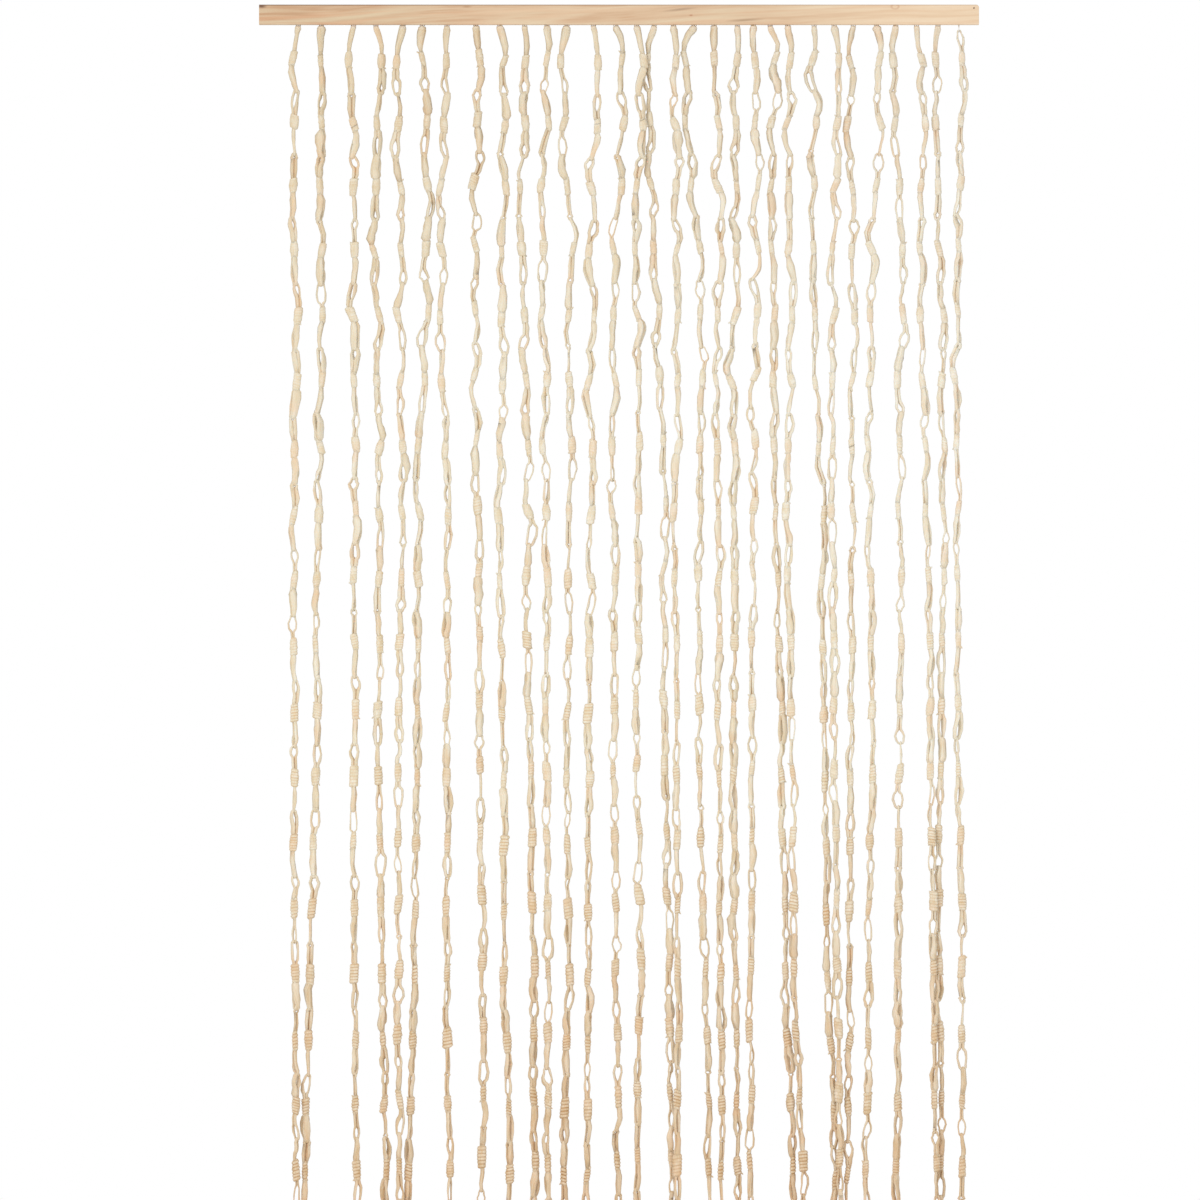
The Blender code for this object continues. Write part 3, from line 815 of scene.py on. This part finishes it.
def make_wire_eyes(material):
    """Bend a round wire staple for each strand: the last one's bar points to the front."""
    maker = MeshMaker()
    for index, strand in enumerate(STRANDS):
        bar = -wire_drop(index)
        route = [(-WIRE_HALF_SPAN, WIRE_SEAT), (-WIRE_HALF_SPAN, bar / 2)]
        for step in range(WIRE_BEND_STEPS + 1):
            angle = step / WIRE_BEND_STEPS * math.pi / 2
            inset = WIRE_BEND * (1 - math.cos(angle))
            rise = WIRE_BEND * (1 - math.sin(angle))
            route.append((-WIRE_HALF_SPAN + inset, bar + rise))
        route += [(-u, z) for u, z in reversed(route)]
        along, across = (INTO_WALL, ALONG_RAIL) if is_last(index) else (ALONG_RAIL, INTO_WALL)
        seat = np.array((strand.root * MM, STRAND_DEPTH, RAIL_UNDERSIDE))
        middle = np.array([seat + along * u + np.array((0.0, 0.0, z)) for u, z in route])
        inward = np.cross(unit(np.gradient(middle, axis=0)), across)
        angle = ring_angles(WIRE_SIDES)
        points = middle[:, None] + WIRE_RADIUS * (across * np.cos(angle)[:, None]
                                                  + inward[:, None] * np.sin(angle)[:, None])
        run = np.concatenate([[0], np.cumsum(np.linalg.norm(np.diff(middle, axis=0), axis=1))])
        maker.add_tubes(points[None], WIRE_TONE, run[None], np.zeros(1))
    piece = maker.make("wire_eyes", material)
    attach(piece, "root")
    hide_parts("rail")


class Nodes:
    """Short helper for building a material's node tree."""

    def __init__(self, name):
        self.material = bpy.data.materials.new(name)
        self.material.use_nodes = True
        self.tree = self.material.node_tree
        self.shader = self.tree.nodes["Principled BSDF"]

    def add(self, kind, inputs=None, **settings):
        """Add a node, set its settings, and set or link its inputs."""
        node = self.tree.nodes.new("ShaderNode" + kind)
        for key, value in settings.items():
            setattr(node, key, value)
        for key, value in (inputs or {}).items():
            self.feed(node.inputs[key], value)
        return node

    def feed(self, socket, value):
        """Link a socket, or set its value."""
        if isinstance(value, bpy.types.NodeSocket):
            self.tree.links.new(value, socket)
        else:
            socket.default_value = value

    def ramp(self, factor, stops):
        """Add a colour ramp with the given (position, colour) stops."""
        node = self.add("ValToRGB", {"Fac": factor})
        elements = node.color_ramp.elements
        while len(elements) < len(stops):
            elements.new(0.5)
        for element, (position, colour) in zip(elements, stops):
            element.position = position
            element.color = colour
        return node.outputs["Color"]

    def math(self, operation, first, second=0.0):
        """Add a maths node."""
        return self.add("Math", {0: first, 1: second}, operation=operation).outputs[0]

    def times(self, first, second):
        """Multiply two values."""
        return self.math("MULTIPLY", first, second)

    def span(self, value, low, high, start=0.0, end=1.0):
        """Map a value between low and high to one between start and end."""
        inputs = {"Value": value, "From Min": low, "From Max": high, "To Min": start, "To Max": end}
        return self.add("MapRange", inputs, clamp=True).outputs[0]

    def noise(self, vector, scale, detail, roughness=0.5):
        """Add a noise pattern of 0 to 1."""
        inputs = {"Vector": vector, "Scale": scale, "Detail": detail, "Roughness": roughness}
        return self.add("TexNoise", inputs).outputs["Fac"]

    def mix(self, factor, first, second):
        """Mix two colours: a colour mix has them on its inputs 6 and 7 and gives output 2."""
        inputs = {0: factor, 6: first, 7: second}
        return self.add("Mix", inputs, data_type="RGBA").outputs[2]

    def bump(self, height, strength, distance):
        """Raise a fine relief from a height of 0 to 1."""
        inputs = {"Height": height, "Strength": strength, "Distance": distance}
        return self.add("Bump", inputs).outputs[0]

    def object_place(self):
        """Give the place, its X, Y and Z, and its share of the way from the rail's left end."""
        place = self.add("TexCoord").outputs["Object"]
        axis = self.add("SeparateXYZ", {0: place}).outputs
        return place, axis, self.span(axis["X"], -RAIL_HALF_LENGTH, RAIL_HALF_LENGTH)

    def shaded(self, looks):
        """Set or link the shader's inputs and give the material."""
        for key, value in looks.items():
            self.feed(self.shader.inputs[key], value)
        return self.material


def srgb(red, green, blue):
    """Turn a screen colour of 0 to 255 into linear light, with an alpha of one."""
    def linear(value):
        value /= 255
        return value / 12.92 if value <= 0.04045 else ((value + 0.055) / 1.055) ** 2.4
    return (linear(red), linear(green), linear(blue), 1.0)


def grey(value):
    """Give a grey of this linear value, with an alpha of one."""
    return (value, value, value, 1.0)


def husk_material():
    """Dry husk: long fibre streaks, pale cream in the middle of the drop and golden tan at its foot."""
    nodes = Nodes("husk")
    fibre = nodes.add("UVMap", uv_map="fibre").outputs["UV"]
    place, axis, rightness = nodes.object_place()
    leftness = nodes.math("SUBTRACT", 1.0, rightness)
    fall = nodes.span(axis["Z"], 0.0, -COLOUR_DROP)
    upper = nodes.math("SUBTRACT", 1.0, fall)
    patches = nodes.math("SUBTRACT", nodes.noise(place, PATCH_SCALE, 2.0), 0.5)
    fall = nodes.math("ADD", fall, nodes.times(patches, PATCH_SHIFT))
    pale = nodes.ramp(fall, [
        (0.00, srgb(231, 222, 201)),
        (0.30, srgb(239, 235, 222)),
        (0.60, srgb(240, 234, 218)),
        (1.00, srgb(232, 213, 187)),
    ])
    deep = nodes.ramp(fall, [
        (0.00, srgb(211, 189, 151)),
        (0.30, srgb(225, 210, 178)),
        (0.60, srgb(222, 203, 166)),
        (1.00, srgb(204, 171, 127)),
    ])
    brown = nodes.ramp(fall, [
        (0.00, srgb(187, 143, 92)),
        (0.30, srgb(218, 186, 142)),
        (0.60, srgb(211, 173, 125)),
        (1.00, srgb(174, 125, 70)),
    ])
    broad = nodes.add("Mapping", {"Vector": fibre, "Scale": BROAD_STREAKS}).outputs[0]
    fine = nodes.add("Mapping", {"Vector": fibre, "Scale": FINE_STREAKS}).outputs[0]
    broad = nodes.noise(broad, 1.0, 2.0)
    fine = nodes.noise(fine, 1.0, 3.0, 0.6)
    streak = nodes.math("ADD", nodes.times(broad, BROAD_SHARE), nodes.times(fine, 1 - BROAD_SHARE))
    streak = nodes.span(streak, *STREAK_CONTRAST)
    colour = nodes.mix(streak, deep, pale)

    tan = nodes.times(nodes.times(leftness, upper), TAN_STRENGTH)
    colour = nodes.mix(tan, colour, srgb(208, 188, 156))
    # The upper strands turn nearer white towards the right.
    whiter_right = nodes.times(nodes.times(rightness, rightness), upper)
    colour = nodes.mix(nodes.times(whiter_right, WHITER_RIGHT_STRENGTH), colour, srgb(240, 236, 228))
    # Painted shade and darker loops: where the tone is low, mostly from painted shade in creases,
    # grooves, beside knots and where legs touch, the colour turns brown.
    tone = nodes.add("Attribute", attribute_name="tone").outputs["Fac"]
    colour = nodes.mix(nodes.span(tone, *SHADE_AND_LOW_TONE_SPAN), brown, colour)
    rosy = nodes.span(nodes.noise(place, ROSY_SCALE, 1.0), *ROSY_CONTRAST, 0.0, ROSY_STRENGTH)
    colour = nodes.mix(rosy, colour, srgb(231, 190, 150))
    # Painted light: the strands' tops turn near white just under the rail, where the rail shades them.
    painted_light_start = RAIL_UNDERSIDE - ROOT_PAINTED_LIGHT_DROP
    root = nodes.span(axis["Z"], painted_light_start, RAIL_UNDERSIDE, 0.0, ROOT_PAINTED_LIGHT)
    colour = nodes.mix(root, colour, srgb(252, 246, 232))

    return nodes.shaded({
        "Base Color": colour,
        "Roughness": nodes.span(fine, 0.3, 0.7, 0.55, 0.8),
        "Specular IOR Level": 0.35,
        "Subsurface Weight": 0.22,
        "Subsurface Radius": (1.0, 0.80, 0.60),
        "Subsurface Scale": 0.0015,
        "Sheen Weight": 0.08,
        "Normal": nodes.bump(streak, 0.55, 0.0004),
    })


def pine_material():
    """Planed softwood: long streaks that rise to the right, a darker left end and a few marks."""
    nodes = Nodes("pine")
    place, axis, rightness = nodes.object_place()
    sway = nodes.math("SUBTRACT", nodes.noise(place, GRAIN_SWAY_SCALE, 1.0), 0.5)
    line = nodes.math("SUBTRACT", axis["Z"], nodes.times(axis["X"], GRAIN_RISE))
    line = nodes.math("ADD", line, nodes.times(sway, GRAIN_SWAY))
    line = nodes.math("ADD", line, nodes.times(axis["Y"], GRAIN_FALL_TO_WALL))

    def streaks(density, detail):
        """Make a pattern that is drawn out along the grain's lines."""
        along, across, through = density
        vector = nodes.add("CombineXYZ", {
            "X": nodes.times(axis["X"], along),
            "Y": nodes.times(line, across),
            "Z": nodes.times(axis["Y"], through),
        }).outputs[0]
        return nodes.noise(vector, 1.0, detail)

    grain = nodes.span(streaks(GRAIN_STREAKS, 3.0), *GRAIN_CONTRAST)
    left = nodes.ramp(grain, [
        (0.00, srgb(190, 152, 118)),
        (0.35, srgb(201, 169, 136)),
        (0.65, srgb(204, 178, 146)),
        (1.00, srgb(210, 189, 157)),
    ])
    right = nodes.ramp(grain, [
        (0.0, srgb(221, 192, 160)),
        (0.4, srgb(226, 200, 169)),
        (1.0, srgb(230, 207, 178)),
    ])
    fading = nodes.ramp(rightness, [
        (0.12, grey(0.00)),
        (0.32, grey(0.38)),
        (0.68, grey(0.42)),
        (0.88, grey(1.00)),
    ])
    colour = nodes.mix(fading, left, right)
    rosy = nodes.span(streaks(ROSY_BANDS, 1.0), *ROSY_BAND_CONTRAST)
    faint = nodes.span(rightness, 0.0, 1.0, *ROSY_BAND_STRENGTHS)
    colour = nodes.mix(nodes.times(rosy, faint), colour, srgb(216, 170, 134))
    pores = streaks(PORES, 2.0)
    fleck = nodes.span(pores, *PORE_CONTRAST, 0.0, PORE_STRENGTH)
    colour = nodes.mix(fleck, colour, srgb(176, 138, 102))

    for mark in BATTEN_MARKS:
        beside = nodes.math("SUBTRACT", axis["X"], mark.x)
        level = nodes.math("ADD", nodes.times(beside, mark.slope), mark.z)
        u = nodes.math("DIVIDE", beside, mark.half_width)
        v = nodes.math("DIVIDE", nodes.math("SUBTRACT", axis["Z"], level), mark.half_height)
        squares = nodes.math("ADD", nodes.times(u, u), nodes.times(v, v))
        reach = nodes.math("SQRT", squares)
        if mark.ring:
            from_ring = nodes.math("ABSOLUTE", nodes.math("SUBTRACT", reach, RING_REACH))
            reach = nodes.times(from_ring, RING_SHARPNESS)
        shown = nodes.span(reach, *MARK_FADE, 0.0, mark.strength)
        colour = nodes.mix(shown, colour, srgb(*mark.colour))

    # Painted shadow along the upper edge, strongest at the left end and fading to the right.
    edge = nodes.span(axis["Z"], *(RAIL_TOP - drop for drop in SHADOWED_EDGE_DROPS))
    fade = nodes.ramp(rightness, [
        (0.0, grey(0.90)),
        (0.3, grey(0.62)),
        (0.6, grey(0.42)),
        (1.0, grey(0.22)),
    ])
    colour = nodes.mix(nodes.times(edge, fade), colour, srgb(112, 78, 56))

    height = nodes.math("ADD", nodes.times(grain, 0.5), pores)
    return nodes.shaded({
        "Base Color": colour,
        "Roughness": 0.58,
        "Specular IOR Level": 0.35,
        "Normal": nodes.bump(height, 0.25, 0.0003),
    })


def wire_material():
    """Thin pale galvanised wire with faint drawing marks."""
    nodes = Nodes("wire")
    marks = nodes.noise(nodes.add("TexCoord").outputs["Object"], 900.0, 2.0)
    dull, bright = (0.78, 0.76, 0.73, 1.0), (0.90, 0.88, 0.85, 1.0)
    return nodes.shaded({
        "Base Color": nodes.ramp(marks, [(0.3, dull), (0.7, bright)]),
        "Metallic": 1.0,
        "Roughness": nodes.span(marks, 0.0, 1.0, 0.3, 0.5),
    })


def nail_material():
    """Dark oxidised steel of a nail head."""
    nodes = Nodes("nail")
    rust = nodes.noise(nodes.add("TexCoord").outputs["Object"], 1500.0, 2.0)
    return nodes.shaded({
        "Base Color": nodes.ramp(rust, [(0.35, srgb(112, 88, 72)), (0.65, srgb(152, 124, 102))]),
        "Metallic": 0.6,
        "Roughness": nodes.span(rust, 0.0, 1.0, 0.5, 0.75),
    })


def make_batten(material):
    """Make the batten from its front outline, with one worn corner and eased edges."""
    half = (RAIL_HIGH.x - RAIL_LOW.x) / 2
    outline = [(-half, RAIL_UNDERSIDE), (half, RAIL_UNDERSIDE)]
    for step in range(WORN_CORNER_STEPS + 1):
        angle = step / WORN_CORNER_STEPS * math.pi / 2
        inset = WORN_CORNER * (1 - math.cos(angle))
        sunk = WORN_CORNER * (1 - math.sin(angle))
        outline.append((half - inset, RAIL_TOP - sunk))
    outline.append((-half, RAIL_TOP))
    points = [(x, y, z) for y in (RAIL_LOW.y, RAIL_HIGH.y) for x, z in outline]
    front = list(range(len(outline)))
    back = [corner + len(outline) for corner in front]
    faces = [front, back[::-1]]
    for corner in front:
        faces.append([front[corner - 1], back[corner - 1], back[corner], corner])
    mesh = bpy.data.meshes.new("rail_batten")
    mesh.from_pydata(points, [], faces)
    mesh.materials.append(material)
    piece = new_object("rail_batten", mesh)
    bevel = piece.modifiers.new("eased edges", "BEVEL")
    bevel.width = EDGE_EASE
    bevel.segments = EDGE_SEGMENTS
    bevel.limit_method = "ANGLE"
    bevel.angle_limit = EDGE_ANGLE
    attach(piece, "root")
    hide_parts("rail")


def make_nail(material):
    """Set a small flat nail head into the batten's front."""
    x, z = NAIL_PLACE
    bpy.ops.mesh.primitive_cylinder_add(vertices=NAIL_SIDES, radius=NAIL_RADIUS, depth=2 * NAIL_HEIGHT,
                                        location=(x, RAIL_LOW.y, z), rotation=(math.pi / 2, 0, 0))
    nail = bpy.context.object
    nail.name = "nail_head"
    nail.data.materials.append(material)
    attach(nail, "root")
    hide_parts("rail")


def make_stage():
    """Lay a plain pale floor under the curtain."""
    bpy.ops.mesh.primitive_circle_add(vertices=FLOOR_SIDES, radius=FLOOR_RADIUS, fill_type="NGON",
                                      location=(0, 0, CAD_LOW.z - FLOOR_GAP))
    floor = bpy.context.object
    floor.name = "floor"
    looks = {"Base Color": FLOOR_COLOUR, "Roughness": 0.9}
    floor.data.materials.append(Nodes("floor").shaded(looks))


def make_lights():
    """Surround the curtain with soft white light, a soft key lamp at the upper left and a fill lamp."""
    world = bpy.data.worlds.new("studio")
    world.use_nodes = True
    tree = world.node_tree
    tree.nodes.clear()
    seen = tree.nodes.new("ShaderNodeBackground")
    seen.inputs["Color"].default_value = SEEN_COLOUR
    around = tree.nodes.new("ShaderNodeBackground")
    around.inputs["Color"].default_value = AROUND_COLOUR
    around.inputs["Strength"].default_value = AROUND_STRENGTH
    path = tree.nodes.new("ShaderNodeLightPath")
    pick = tree.nodes.new("ShaderNodeMixShader")
    out = tree.nodes.new("ShaderNodeOutputWorld")
    tree.links.new(path.outputs["Is Camera Ray"], pick.inputs[0])
    tree.links.new(around.outputs[0], pick.inputs[1])
    tree.links.new(seen.outputs[0], pick.inputs[2])
    tree.links.new(pick.outputs[0], out.inputs[0])
    bpy.context.scene.world = world

    for lamp in LAMPS:
        data = bpy.data.lights.new(lamp.name, "AREA")
        data.size = lamp.size
        data.energy = lamp.power
        light = new_object(lamp.name, data)
        light.location = lamp.place
        light.rotation_euler = (LAMP_TARGET - light.location).to_track_quat("-Z", "Y").to_euler()
        light.visible_camera = False


def make_camera():
    """Look straight at the curtain with a long lens, framed as the photograph is."""
    metres_per_px = (RAIL_HIGH.x - RAIL_LOW.x) / RAIL_WIDTH_PX
    view_width = PHOTO_SIZE_PX * metres_per_px
    centre_x = (PHOTO_SIZE_PX / 2 - RAIL_MIDDLE_PX) * metres_per_px
    centre_z = RAIL_TOP - (PHOTO_SIZE_PX / 2 - RAIL_TOP_PX) * metres_per_px
    data = bpy.data.cameras.new("camera")
    data.sensor_width = SENSOR_WIDTH
    data.lens = SENSOR_WIDTH * CAMERA_DISTANCE / view_width
    data.clip_end = 100.0
    camera = new_object("camera", data)
    camera.location = (centre_x, RAIL_LOW.y - CAMERA_DISTANCE, centre_z)
    camera.rotation_euler = (math.pi / 2, 0, 0)
    bpy.context.scene.camera = camera


husk = husk_material()
for number in range(len(STRANDS)):
    make_strand(number, husk)
make_wire_eyes(wire_material())
make_batten(pine_material())
make_nail(nail_material())
make_stage()
make_lights()
make_camera()
bpy.context.scene.view_settings.view_transform = "Standard"
